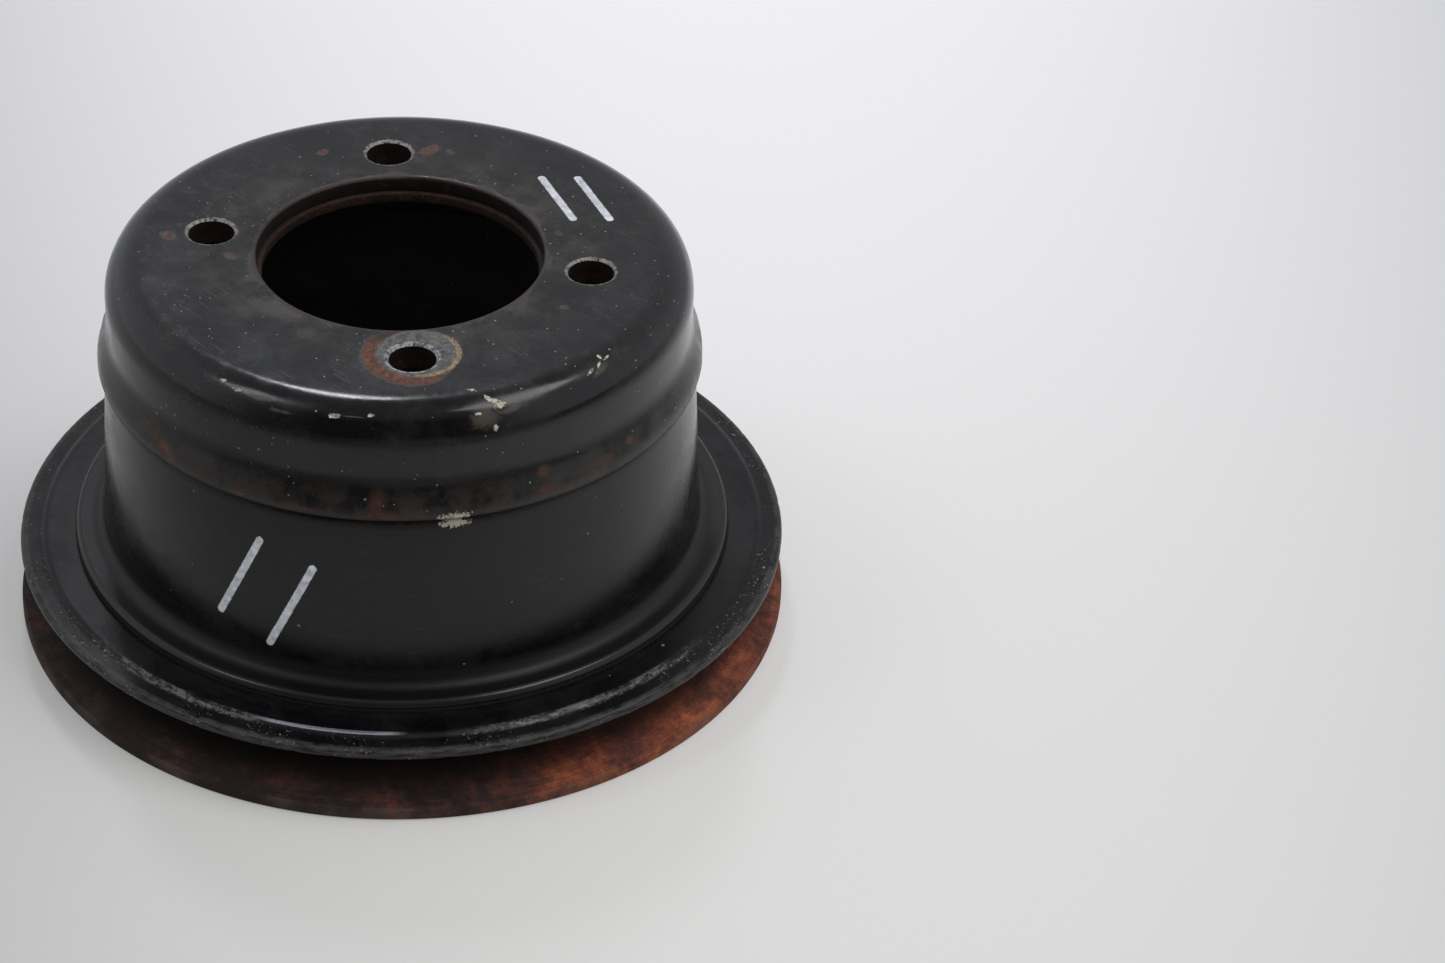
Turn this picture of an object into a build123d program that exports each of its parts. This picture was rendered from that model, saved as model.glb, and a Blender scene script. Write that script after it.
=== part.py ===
"""V belt pulley built from pressed and turned steel pieces that are spot welded together.

The pulley stands on the rim of its rear flange with its hub face up. Z runs along the
axis of rotation from the centre of that resting plane, and X runs along the long side
of the bolt rectangle. All sizes are in millimetres.
"""
import os
from math import atan2, cos, hypot, pi, radians, sin, tan

from build123d import *

# ---- driving dimensions -------------------------------------------------------------

# Heights of the three levels that everything hangs from
hub_face_z = 73.6            # outer face of the hub, from the resting plane
lap_edge_z = 52.9            # lower edge of the hub cup, lapped over the drum
flange_top_z = 15.7          # flat top of the front flange, under the drum's foot

# Sheet thicknesses
cup_sheet = 3.0
ring_sheet = 2.0
drum_sheet = 2.2
rear_sheet = 2.3

# Hub: centre bore and the bolt rectangle
bore_r = 26.0                # in the hub cup
pilot_r = 25.1               # in the backing ring, centres the pulley on a 50 mm boss
bolt_x, bolt_y = 55.6, 42.5  # hole spacing, on a 70 mm bolt circle
bolt_hole_r = 4.2            # for M8
hole_chamfer = 0.45
backing_ring_r = 43.0

# Hub cup, outer surface
cup_r = 53.35
cup_corner_r = 6.9
skirt_r = 55.3
flare_top_z, flare_bottom_z = 59.8, 54.9
flare_bend_r = 7.5
bore_round = 0.5
lap_edge_round = 0.4

# Drum, outer surface
drum_top_r = 54.1            # just below the lap
drum_foot_r = 55.9           # where the wall meets the foot fillet
neck_low_z, neck_high_z = 51.9, 52.6
drum_end_z = 57.4
foot_fillet_r = 2.6
foot_lip_r = 61.3
foot_edge_round = 1.2
neck_bends = (0.8, 0.4)      # shoulder under the lap edge, and where the neck turns upright
neck_inner_r = 0.3

# Belt groove
groove_half_angle = 18.0
front_rim_r = 71.6
front_rim_z = 13.95          # mid height of the rounded rim
rim_round = 1.05
shoulder_r, shoulder_round = 66.95, 2.0  # the flat top ends here and steps down
land_r, land_round = 67.85, 1.5          # foot of the step
land_tilt = 3.0              # the land outside the step falls towards the rim, degrees
rear_rim_r = 72.05
rear_rim_round = 0.5
groove_root_r = 60.0
ring_bore_r = 52.0
web_z = 9.41                # joint between the front flange and the rear flange's web
rear_bends = (0.9, 2.5)      # root of the groove, and where the collar turns into the web

# Spot welds: number, diameter and depth into each of the two pieces
lap_welds = (8, 3.8, 1.4)
backing_welds = (8, 5.0, 1.2)
foot_welds = (12, 2.2, 1.4)
web_welds = (8, 4.6, 1.3)
lap_weld_z = 55.2
backing_weld_r = 38.0
foot_weld_r = 59.95
web_weld_r = 55.0


# ---- helpers ------------------------------------------------------------------------

def revolved(lines):
    """Solid of revolution about Z from a closed outline drawn as (radius, height)."""
    outline = make_face(lines)
    return revolve(Plane.XZ * outline, axis=Axis.Z)


def offset_path(points, distance):
    """The polyline moved sideways by a distance, to the left of its direction."""
    normals = []
    for (x0, y0), (x1, y1) in zip(points, points[1:]):
        run = hypot(x1 - x0, y1 - y0)
        normals.append(((y0 - y1) / run, (x1 - x0) / run))
    moved = []
    for i, (x, y) in enumerate(points):
        before, after = normals[max(i - 1, 0)], normals[min(i, len(normals) - 1)]
        mean = (before[0] + after[0], before[1] + after[1])
        scale = distance * 2 / (mean[0] ** 2 + mean[1] ** 2)
        moved.append((x + mean[0] * scale, y + mean[1] * scale))
    return moved


def turn(a, b, c):
    """Signed turn at b, positive to the left."""
    first = atan2(b[1] - a[1], b[0] - a[0])
    second = atan2(c[1] - b[1], c[0] - b[0])
    return (second - first + pi) % (2 * pi) - pi


def sheet_outline(points, radii, thickness, far_changes={}):
    """Closed outline of a bent sheet. The points and bend radii are those of one side,
    and the other side lies at the sheet's thickness to the left. Some bends of the far
    side may have a radius of their own, given by their place in the list."""
    far_points = offset_path(points, thickness)
    far_radii = []
    for i, radius in enumerate(radii):
        bend = turn(points[i], points[i + 1], points[i + 2])
        parallel = radius - thickness if bend > 0 else radius + thickness
        far_radii.append(far_changes.get(i, parallel))
    near = FilletPolyline(*points, radius=radii)
    far = FilletPolyline(*far_points, radius=far_radii)
    ends = [Line(points[0], far_points[0]), Line(points[-1], far_points[-1])]
    return [*near.edges(), *far.edges(), *ends]


def circle_of(count, radius, start=0.0):
    """Evenly spaced (x, y) places on a circle."""
    step = 360 / count
    return [(radius * cos(radians(start + i * step)), radius * sin(radians(start + i * step)))
            for i in range(count)]


def upright_nuggets(places, diameter, z_low, z_high):
    """Round weld nuggets with upright axes."""
    nugget = Cylinder(diameter / 2, z_high - z_low, align=(Align.CENTER, Align.CENTER, Align.MIN))
    return Compound([Pos(x, y, z_low) * nugget for x, y in places])


def radial_nuggets(count, diameter, r_low, r_high, z):
    """Round weld nuggets whose axes point away from Z."""
    nugget = Cylinder(diameter / 2, r_high - r_low, align=(Align.CENTER, Align.CENTER, Align.MIN))
    outward = Pos(r_low, 0, z) * Rot(0, 90, 0) * nugget
    return Compound([Rot(0, 0, i * 360 / count) * outward for i in range(count)])


def rim_edge(solid, radius, z):
    """The circular edge of a solid about Z with this radius and height."""
    def is_it(edge):
        centre = edge.arc_center
        return (abs(edge.radius - radius) < 0.01 and abs(centre.Z - z) < 0.01
                and hypot(centre.X, centre.Y) < radius / 2)
    return solid.edges().filter_by(GeomType.CIRCLE).filter_by(is_it)


def bolt_places():
    return [(sx * bolt_x / 2, sy * bolt_y / 2) for sx in (-1, 1) for sy in (-1, 1)]


def bolt_drill(z_low, z_high, top_chamfer):
    """The tool that cuts the four bolt holes, with a chamfer at the upper face."""
    drill = Pos(0, 0, z_low - 1) * Cylinder(
        bolt_hole_r, z_high - z_low + 2, align=(Align.CENTER, Align.CENTER, Align.MIN))
    if top_chamfer:
        drill += Pos(0, 0, z_high - top_chamfer) * Cone(
            bolt_hole_r, bolt_hole_r + 2 * top_chamfer, 2 * top_chamfer,
            align=(Align.CENTER, Align.CENTER, Align.MIN))
    return [Pos(x, y, 0) * drill for x, y in bolt_places()]


# ---- sheets and rings ---------------------------------------------------------------

cup_outside = [(skirt_r, lap_edge_z), (skirt_r, flare_bottom_z), (cup_r, flare_top_z),
               (cup_r, hub_face_z), (bore_r, hub_face_z)]
cup_inside = offset_path(cup_outside, cup_sheet)


def lap_radius(z):
    """Radius of the surface where the flared skirt lies on the drum's neck."""
    (low_r, low_z), (high_r, high_z) = cup_inside[1:3]
    return low_r + (high_r - low_r) * (z - low_z) / (high_z - low_z)


def make_hub_cup():
    """Deep drawn cup: hub face, rounded corner, wall, and a flared skirt over the drum."""
    bends = [flare_bend_r, flare_bend_r, cup_corner_r]
    cup = revolved(sheet_outline(cup_outside, bends, cup_sheet))
    cup = cup.cut(*bolt_drill(hub_face_z - cup_sheet, hub_face_z, hole_chamfer))
    cup = fillet(rim_edge(cup, bore_r, hub_face_z), bore_round)
    return fillet(rim_edge(cup, skirt_r, lap_edge_z), lap_edge_round)


def make_backing_ring():
    """Flat ring under the hub face. Its smaller bore is the pilot."""
    top = hub_face_z - cup_sheet
    low = top - ring_sheet
    base = (Align.CENTER, Align.CENTER, Align.MIN)
    ring = Pos(0, 0, low) * (Cylinder(backing_ring_r, ring_sheet, align=base)
                             - Cylinder(pilot_r, ring_sheet, align=base))
    return ring.cut(*bolt_drill(low, top, 0))


def make_drum_shell():
    """Drum: neck inside the skirt, slightly flaring wall, fillet and out-turned foot lip."""
    foot_top = flange_top_z + drum_sheet
    neck_r = skirt_r - cup_sheet
    outside = [(foot_lip_r, foot_top), (drum_foot_r, foot_top), (drum_top_r, neck_low_z),
               (neck_r, neck_high_z), cup_inside[1], (lap_radius(drum_end_z), drum_end_z)]
    bends = [foot_fillet_r, *neck_bends, flare_bend_r - cup_sheet]
    drum = revolved(sheet_outline(outside, bends, drum_sheet, {1: neck_inner_r}))
    return fillet(rim_edge(drum, foot_lip_r, foot_top), foot_edge_round)


def make_front_flange():
    """Turned ring: flat top, shallow step, rounded rim, and the belt flank underneath."""
    slope, tilt = radians(groove_half_angle), radians(land_tilt)
    rim_centre_r = front_rim_r - rim_round
    flank_end = (rim_centre_r + rim_round * sin(slope), front_rim_z - rim_round * cos(slope))
    land_end = (rim_centre_r + rim_round * sin(tilt), front_rim_z + rim_round * cos(tilt))
    land_z = land_end[1] + (land_end[0] - land_r) * tan(tilt)
    root = (groove_root_r, flank_end[1] - (flank_end[0] - groove_root_r) * tan(slope))
    top = FilletPolyline(land_end, (land_r, land_z), (shoulder_r, flange_top_z),
                         (ring_bore_r, flange_top_z), radius=[land_round, shoulder_round])
    lines = [
        Line((ring_bore_r, root[1]), root),
        Line(root, flank_end),
        ThreePointArc(flank_end, (front_rim_r, front_rim_z), land_end),
        top,
        Line((ring_bore_r, flange_top_z), (ring_bore_r, root[1])),
    ]
    return revolved([edge for line in lines for edge in line.edges()])


def make_rear_flange():
    """Pressed ring: belt flank, root collar, and the web welded under the front flange."""
    slope = radians(groove_half_angle)
    rest_drop = rear_rim_round * (1 / cos(slope) + tan(slope) - 1)
    rim_top = rear_sheet / cos(slope) - rest_drop
    trim = 2.0
    root_z = rim_top + (rear_rim_r - groove_root_r) * tan(slope)
    groove_side = [(rear_rim_r + trim, rim_top - trim * tan(slope)), (groove_root_r, root_z),
                   (groove_root_r, web_z), (ring_bore_r, web_z)]
    ring = revolved(sheet_outline(groove_side, list(rear_bends), rear_sheet))
    ring &= Cylinder(rear_rim_r, 2 * web_z)
    rim_edges = rim_edge(ring, rear_rim_r, -rest_drop) + rim_edge(ring, rear_rim_r, rim_top)
    return fillet(rim_edges, rear_rim_round)


# ---- welds and assembly -------------------------------------------------------------

def make_welds():
    """The four groups of weld nuggets, each sunk into the two pieces that it joins."""
    count, size, depth = lap_welds
    lap_r = lap_radius(lap_weld_z)
    lap = radial_nuggets(count, size, lap_r - depth, lap_r + depth, lap_weld_z)

    count, size, depth = backing_welds
    ring_top = hub_face_z - cup_sheet
    backing = upright_nuggets(circle_of(count, backing_weld_r, 22.5), size, ring_top - depth, ring_top + depth)

    count, size, depth = foot_welds
    foot = upright_nuggets(circle_of(count, foot_weld_r), size, flange_top_z - depth, flange_top_z + depth)

    count, size, depth = web_welds
    web = upright_nuggets(circle_of(count, web_weld_r), size, web_z - depth, web_z + depth)
    return lap, backing, foot, web


def make_parts():
    lap, backing, foot, web = make_welds()
    return {
        "hub_cup": make_hub_cup().cut(*lap.solids(), *backing.solids()),
        "hub_backing_ring": make_backing_ring().cut(*backing.solids()),
        "drum_shell": make_drum_shell().cut(*lap.solids(), *foot.solids()),
        "front_flange": make_front_flange().cut(*foot.solids(), *web.solids()),
        "rear_flange": make_rear_flange().cut(*web.solids()),
        "hub_lap_spot_welds": lap,
        "backing_ring_spot_welds": backing,
        "drum_foot_projection_welds": foot,
        "groove_web_spot_welds": web,
    }


os.makedirs("parts", exist_ok=True)
for name, shape in make_parts().items():
    export_step(shape, f"parts/{name}.step")
    print(name, round(shape.volume, 1))
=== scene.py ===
"""Looks of the v belt pulley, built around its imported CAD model.

Every length below is in millimetres in the part's frame and becomes metres through MM.
Z is the axis of rotation, X runs along the long side of the bolt rectangle.
"""
import math

import bmesh
import bpy
import numpy as np
from mathutils import Matrix, Vector, noise


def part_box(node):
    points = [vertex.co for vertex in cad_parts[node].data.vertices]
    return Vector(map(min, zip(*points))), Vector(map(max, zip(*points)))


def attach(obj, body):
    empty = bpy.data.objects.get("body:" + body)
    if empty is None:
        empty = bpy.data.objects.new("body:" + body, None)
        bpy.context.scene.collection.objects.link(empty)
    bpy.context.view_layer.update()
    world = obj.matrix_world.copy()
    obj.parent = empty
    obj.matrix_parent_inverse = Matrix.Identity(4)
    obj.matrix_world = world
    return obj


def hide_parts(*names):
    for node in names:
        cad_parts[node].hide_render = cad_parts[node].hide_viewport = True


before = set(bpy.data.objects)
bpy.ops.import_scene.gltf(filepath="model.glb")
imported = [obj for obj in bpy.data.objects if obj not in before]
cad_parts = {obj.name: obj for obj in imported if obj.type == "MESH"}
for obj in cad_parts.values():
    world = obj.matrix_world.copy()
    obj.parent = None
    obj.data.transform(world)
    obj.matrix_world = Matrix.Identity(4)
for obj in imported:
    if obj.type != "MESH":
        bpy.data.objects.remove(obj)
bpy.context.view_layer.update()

MM = 0.001

# ---- sizes of the pressed and turned pieces -----------------------------------------

HUB_FACE_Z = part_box("hub_cup")[1].z / MM
LAP_EDGE_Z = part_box("hub_cup")[0].z / MM
SKIRT_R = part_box("hub_cup")[1].x / MM
FLANGE_TOP_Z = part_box("front_flange")[1].z / MM
FRONT_RIM_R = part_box("front_flange")[1].x / MM
REAR_RIM_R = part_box("rear_flange")[1].x / MM
WEB_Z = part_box("rear_flange")[1].z / MM
FOOT_LIP_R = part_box("drum_shell")[1].x / MM
DRUM_END_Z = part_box("drum_shell")[1].z / MM
RING_TOP_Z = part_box("hub_backing_ring")[1].z / MM
RING_LOW_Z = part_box("hub_backing_ring")[0].z / MM
BACKING_RING_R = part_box("hub_backing_ring")[1].x / MM

CUP_SHEET, DRUM_SHEET, REAR_SHEET = 3.0, 2.2, 2.3
BORE_R, PILOT_R, CUP_R = 26.0, 25.1, 53.35
BOLT_X, BOLT_Y, BOLT_HOLE_R = 27.8, 21.25, 4.2
RING_BORE_R, GROOVE_ROOT_R = 52.0, 60.0
GROOVE_SLOPE = math.radians(18.0)
FRONT_RIM_Z, RIM_ROUND = 13.95, 1.05
SHOULDER_R, LAND_R, LAND_TILT = 66.95, 67.85, math.radians(3.0)
FILL_GLOW = 3.6               # soft light from the camera side, felt only by dull surfaces
FACE_R = 46.2                 # the hub face's own paint reaches this far
AROUND = 576                 # facets round the axis

# ---- camera -------------------------------------------------------------------------

CAMERA_AT = (0.47744, -0.40734, 0.46485)
CAMERA_RIGHT = (0.70136726, 0.71197355, 0.03431652)
CAMERA_UP = (-0.42964466, 0.38384852, 0.81735291)
LENS = 101.39
NEAR_SIDE = math.radians(-40.47)
DARK_SIDE = math.radians(-52.0)   # middle of the dark part of the room


def make_camera():
    data = bpy.data.cameras.new("camera")
    data.lens = LENS
    data.sensor_width = 36.0
    data.sensor_fit = "HORIZONTAL"
    data.clip_start = 0.02
    data.clip_end = 20.0
    camera = bpy.data.objects.new("camera", data)
    right = Vector(CAMERA_RIGHT).normalized()
    back = right.cross(Vector(CAMERA_UP)).normalized()
    up = back.cross(right)
    turn = Matrix((right, up, back)).transposed()
    camera.matrix_world = Matrix.Translation(CAMERA_AT) @ turn.to_4x4()
    bpy.context.scene.collection.objects.link(camera)
    bpy.context.scene.camera = camera


# ---- node helpers -------------------------------------------------------------------

class Shade:
    """Builds one node tree with short calls. Every call returns an output socket."""

    def __init__(self, tree):
        self.tree = tree
        tree.nodes.clear()

    def node(self, kind, sockets=None, **props):
        made = self.tree.nodes.new(kind)
        for key, value in props.items():
            setattr(made, key, value)
        for key, value in (sockets or {}).items():
            if isinstance(value, bpy.types.NodeSocket):
                self.tree.links.new(value, made.inputs[key])
            else:
                made.inputs[key].default_value = value
        return made

    def math(self, operation, *values, clamp=False):
        sockets = dict(enumerate(values))
        return self.node("ShaderNodeMath", sockets, operation=operation, use_clamp=clamp).outputs[0]

    def vector(self, operation, *values, out=0):
        sockets = dict(enumerate(values))
        return self.node("ShaderNodeVectorMath", sockets, operation=operation).outputs[out]

    def step(self, value, low, high, a=0.0, b=1.0):
        """A smooth step from a to b as value goes from low to high."""
        sockets = {0: value, 1: low, 2: high, 3: a, 4: b}
        return self.node("ShaderNodeMapRange", sockets, interpolation_type="SMOOTHSTEP").outputs[0]

    def remap(self, value, low, high, a=0.0, b=1.0):
        return self.node("ShaderNodeMapRange", {0: value, 1: low, 2: high, 3: a, 4: b}).outputs[0]

    def mix(self, factor, a, b):
        """Colour a to colour b."""
        made = self.node("ShaderNodeMix", data_type="RGBA")
        for index, value in ((0, factor), (6, a), (7, b)):
            if isinstance(value, bpy.types.NodeSocket):
                self.tree.links.new(value, made.inputs[index])
            else:
                made.inputs[index].default_value = value
        return made.outputs[2]

    def blend(self, factor, a, b):
        """Number a to number b."""
        return self.node("ShaderNodeMix", {0: factor, 2: a, 3: b}, data_type="FLOAT").outputs[0]

    def noise(self, where, scale, detail=4.0, rough=0.55, warp=0.0):
        sockets = {"Vector": where, "Scale": scale, "Detail": detail, "Roughness": rough,
                   "Distortion": warp}
        return self.node("ShaderNodeTexNoise", sockets).outputs["Fac"]

    def cells(self, where, scale, out="Distance"):
        sockets = {"Vector": where, "Scale": scale}
        return self.node("ShaderNodeTexVoronoi", sockets).outputs[out]

    def ramp(self, value, stops):
        made = self.node("ShaderNodeValToRGB", {0: value})
        ramp = made.color_ramp
        while len(ramp.elements) < len(stops):
            ramp.elements.new(0.5)
        for element, (at, colour) in zip(ramp.elements, stops):
            element.position = at
            element.color = colour
        return made.outputs[0]

    def bump(self, height, strength, distance):
        sockets = {"Height": height, "Strength": strength, "Distance": distance}
        return self.node("ShaderNodeBump", sockets).outputs[0]


def rgb(r, g, b):
    return (r, g, b, 1.0)


def new_material(name):
    material = bpy.data.materials.new(name)
    material.use_nodes = True
    return material, Shade(material.node_tree)


# ---- floor, world and lights --------------------------------------------------------

FLOOR_HALF = 3.0              # m
GLOW, GLOW_AT = 0.385, 0.08   # the table's own light, strongest this far (m) to the right
GLOW_FALL, GLOW_FALL_MOST = 7.3, 0.05   # loss per square metre sideways, and where it stops
GLOW_DEPTH = 0.45             # loss per metre towards the camera
FRONT_SHADE = (0.118, 0.20)   # the table darkens between these distances (m) in front
UNDER_SHADE = (0.064, 0.074)  # no glow inside these radii (m), under the pulley


def make_floor():
    mesh = bpy.data.meshes.new("floor")
    h = FLOOR_HALF
    mesh.from_pydata([(-h, -h, 0), (h, -h, 0), (h, h, 0), (-h, h, 0)], [], [(0, 1, 2, 3)])
    floor = bpy.data.objects.new("floor", mesh)
    bpy.context.scene.collection.objects.link(floor)
    material, s = new_material("pale_table")
    where = s.node("ShaderNodeTexCoord").outputs["Object"]
    near = (math.cos(NEAR_SIDE), math.sin(NEAR_SIDE), 0.0)
    right = (-near[1], near[0], 0.0)
    toward = s.vector("DOT_PRODUCT", where, near, out=1)
    across = s.vector("DOT_PRODUCT", where, right, out=1)
    off = s.math("SUBTRACT", across, GLOW_AT)
    off = s.math("MINIMUM", s.math("MULTIPLY", off, off), GLOW_FALL_MOST)
    glow = s.math("SUBTRACT", GLOW, s.math("MULTIPLY", off, GLOW_FALL))
    depth = s.remap(toward, -0.25, 0.25, -0.25, 0.25)
    glow = s.math("SUBTRACT", glow, s.math("MULTIPLY", depth, GLOW_DEPTH))
    # Painted light and shade on the table: its glow is painted light, strongest to the right. The glow and
    # the table's colour darken in front as painted shade, and a painted contact shadow leaves no glow under
    # the pulley.
    front = s.step(toward, *FRONT_SHADE, 1.0, 0.32)
    under = s.step(s.vector("LENGTH", where, out=1), *UNDER_SHADE)
    glow = s.math("MULTIPLY", s.math("MULTIPLY", glow, front), under)
    tint = s.mix(s.step(toward, -0.25, 0.12), rgb(0.985, 0.98, 1.035), rgb(1.01, 1.0, 0.965))
    shader = s.node("ShaderNodeBsdfPrincipled", {
        "Base Color": s.mix(front, rgb(0.18, 0.18, 0.18), rgb(0.50, 0.50, 0.50)), "Roughness": 0.6,
        "Specular IOR Level": 0.15, "Emission Color": tint, "Emission Strength": glow})
    s.node("ShaderNodeOutputMaterial", {"Surface": shader.outputs[0]})
    mesh.materials.append(material)


def make_world():
    """A pale room whose camera side is dark, as behind a photographer."""
    world = bpy.data.worlds.new("studio")
    world.use_nodes = True
    bpy.context.scene.world = world
    s = Shade(world.node_tree)
    way = s.vector("NORMALIZE", s.node("ShaderNodeTexCoord").outputs["Generated"])
    parts = s.node("ShaderNodeSeparateXYZ", {0: way}).outputs
    flat = s.vector("NORMALIZE", s.node("ShaderNodeCombineXYZ", {0: parts[0], 1: parts[1]}).outputs[0])
    near = (math.cos(DARK_SIDE), math.sin(DARK_SIDE), 0.0)
    toward = s.vector("DOT_PRODUCT", flat, near, out=1)
    side = s.step(toward, 0.28, 0.92, 0.70, 0.065)
    side = s.math("SUBTRACT", side, s.step(toward, -0.45, -0.95, 0.0, 0.20))
    height = parts[2]
    level = s.blend(s.step(height, 0.70, 0.95), side, 0.30)
    colour = s.node("ShaderNodeCombineColor", {0: s.math("MULTIPLY", level, 0.985), 1: level,
                                               2: s.math("MULTIPLY", level, 1.03)}).outputs[0]
    background = s.node("ShaderNodeBackground", {"Color": colour, "Strength": 1.0})
    s.node("ShaderNodeOutputWorld", {"Surface": background.outputs[0]})


def make_panel(name, azimuth, elevation, distance, size, watts, tint, mirrored=True):
    """Rectangular soft light, aimed at the pulley. A fill light isn't mirrored in the paint."""
    a, e = math.radians(azimuth), math.radians(elevation)
    way = Vector((math.cos(a) * math.cos(e), math.sin(a) * math.cos(e), math.sin(e)))
    data = bpy.data.lights.new(name, "AREA")
    data.shape = "RECTANGLE"
    data.size, data.size_y = size
    data.energy = watts
    data.color = tint
    light = bpy.data.objects.new(name, data)
    light.location = way * distance + Vector((0, 0, 0.04))
    light.rotation_euler = way.to_track_quat("Z", "Y").to_euler()
    light.visible_glossy = mirrored
    bpy.context.scene.collection.objects.link(light)
    return light


def make_lights():
    """Azimuths are counted from the camera's side, seen from above."""
    for name, azimuth, elevation, size, glow, tint in (
            ("window_far", -173.0, 53.0, (0.13, 0.30), 27.0, (0.92, 0.94, 1.0)),
            ("panel_left", -84.0, 57.0, (0.36, 0.38), 3.6, (0.95, 0.97, 1.0)),
            ("panel_right", 78.0, 65.0, (0.70, 0.50), 4.6, (1.0, 0.99, 0.97))):
        watts = glow * math.pi * size[0] * size[1]
        make_panel(name, azimuth + math.degrees(NEAR_SIDE), elevation, 1.5, size, watts, tint)
    return make_panel("room_fill", 12.0 + math.degrees(NEAR_SIDE), 52.0, 1.5, (1.0, 1.0),
                      FILL_GLOW * math.pi, (1.0, 0.99, 0.97), mirrored=False)


# ---- profiles -----------------------------------------------------------------------

def offset_path(points, distance):
    """The polyline moved sideways by a distance, to the left of its direction."""
    normals = []
    for (x0, y0), (x1, y1) in zip(points, points[1:]):
        run = math.hypot(x1 - x0, y1 - y0)
        normals.append(((y0 - y1) / run, (x1 - x0) / run))
    moved = []
    for i, (x, y) in enumerate(points):
        before, after = normals[max(i - 1, 0)], normals[min(i, len(normals) - 1)]
        mean = (before[0] + after[0], before[1] + after[1])
        scale = distance * 2 / (mean[0] ** 2 + mean[1] ** 2)
        moved.append((x + mean[0] * scale, y + mean[1] * scale))
    return moved


def rounded(points, radii, step):
    """Points along the polyline with its inner corners rounded, about a step apart."""
    out = [np.array(points[0], float)]
    corners = [np.array(p, float) for p in points]

    def run_to(target, spacing):
        start = out[-1]
        count = max(1, int(math.ceil(np.linalg.norm(target - start) / spacing)))
        for k in range(1, count + 1):
            out.append(start + (target - start) * k / count)

    for i in range(1, len(corners) - 1):
        a, b, c = corners[i - 1], corners[i], corners[i + 1]
        u = (a - b) / np.linalg.norm(a - b)
        v = (c - b) / np.linalg.norm(c - b)
        radius = radii[i - 1]
        if radius <= 0:
            run_to(b, step)
            continue
        half = math.acos(max(-1.0, min(1.0, float(u @ v)))) / 2
        cut = radius / math.tan(half)
        first, last = b + u * cut, b + v * cut
        centre = b + (u + v) / np.linalg.norm(u + v) * radius / math.sin(half)
        run_to(first, step)
        sweep = math.pi - 2 * half
        count = max(3, int(math.ceil(sweep * radius / (step * 0.35))))
        count = min(count, max(3, int(math.degrees(sweep) / 5)))
        e0, e1 = (first - centre) / radius, (last - centre) / radius
        for k in range(1, count + 1):
            t = k / count
            d = (math.sin((1 - t) * sweep) * e0 + math.sin(t * sweep) * e1) / math.sin(sweep)
            out.append(centre + d * radius)
    run_to(corners[-1], step)
    return out


def lathe(name, outline, around=AROUND):
    """Mesh of revolution about Z from a closed outline of (radius, height) points."""
    outline = [p for i, p in enumerate(outline)
               if i == 0 or np.linalg.norm(p - outline[i - 1]) > 1e-4]
    if np.linalg.norm(outline[0] - outline[-1]) < 1e-4:
        outline = outline[:-1]
    ring = np.arange(around) * 2 * math.pi / around
    verts = []
    for r, z in outline:
        verts.append(np.c_[r * np.cos(ring), r * np.sin(ring), np.full(around, z)])
    verts = np.concatenate(verts) * MM
    faces = []
    n = len(outline)
    area = sum(outline[i][0] * outline[(i + 1) % n][1] - outline[(i + 1) % n][0] * outline[i][1]
               for i in range(n))
    for i in range(n):
        a, b = i * around, ((i + 1) % n) * around
        for j in range(around):
            k = (j + 1) % around
            quad = (a + j, a + k, b + k, b + j)
            faces.append(quad if area > 0 else quad[::-1])
    mesh = bpy.data.meshes.new(name)
    mesh.from_pydata([tuple(v) for v in verts], [], faces)
    mesh.update()
    piece = bpy.data.objects.new(name, mesh)
    bpy.context.scene.collection.objects.link(piece)
    return piece


def drill(piece, holes):
    """Cuts chamfered round holes: (x, y, radius, z_low, z_high, chamfer) in mm."""
    mesh = bpy.data.meshes.new("drills")
    bm = bmesh.new()
    for x, y, radius, low, high, chamfer in holes:
        rings = [(radius, low - 2)]
        if chamfer:
            rings += [(radius, high - chamfer), (radius + 2 * chamfer, high + chamfer)]
        else:
            rings += [(radius, high + 2)]
        rows = []
        for r, z in rings:
            rows.append([bm.verts.new(((x + r * math.cos(t)) * MM, (y + r * math.sin(t)) * MM, z * MM))
                         for t in np.arange(64) * 2 * math.pi / 64])
        bm.faces.new(rows[0][::-1])
        bm.faces.new(rows[-1])
        for lower, upper in zip(rows, rows[1:]):
            for j in range(64):
                k = (j + 1) % 64
                bm.faces.new((lower[j], lower[k], upper[k], upper[j]))
    bm.to_mesh(mesh)
    bm.free()
    cutter = bpy.data.objects.new("drills", mesh)
    bpy.context.scene.collection.objects.link(cutter)
    cut = piece.modifiers.new("drill", "BOOLEAN")
    cut.operation = "DIFFERENCE"
    cut.object = cutter
    cut.solver = "EXACT"
    graph = bpy.context.evaluated_depsgraph_get()
    made = bpy.data.meshes.new_from_object(piece.evaluated_get(graph))
    piece.modifiers.clear()
    piece.data = made
    bpy.data.objects.remove(cutter)


def displace(piece, how_far):
    """Moves each vertex along its normal by how_far(x, y, z) millimetres."""
    mesh = piece.data
    count = len(mesh.vertices)
    co = np.zeros(count * 3)
    normal = np.zeros(count * 3)
    mesh.vertices.foreach_get("co", co)
    mesh.vertex_normals.foreach_get("vector", normal)
    co, normal = co.reshape(-1, 3), normal.reshape(-1, 3)
    far = np.array([how_far(*(p / MM)) for p in co])
    co += normal * far[:, None] * MM
    mesh.vertices.foreach_set("co", co.ravel())
    mesh.update()


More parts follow.
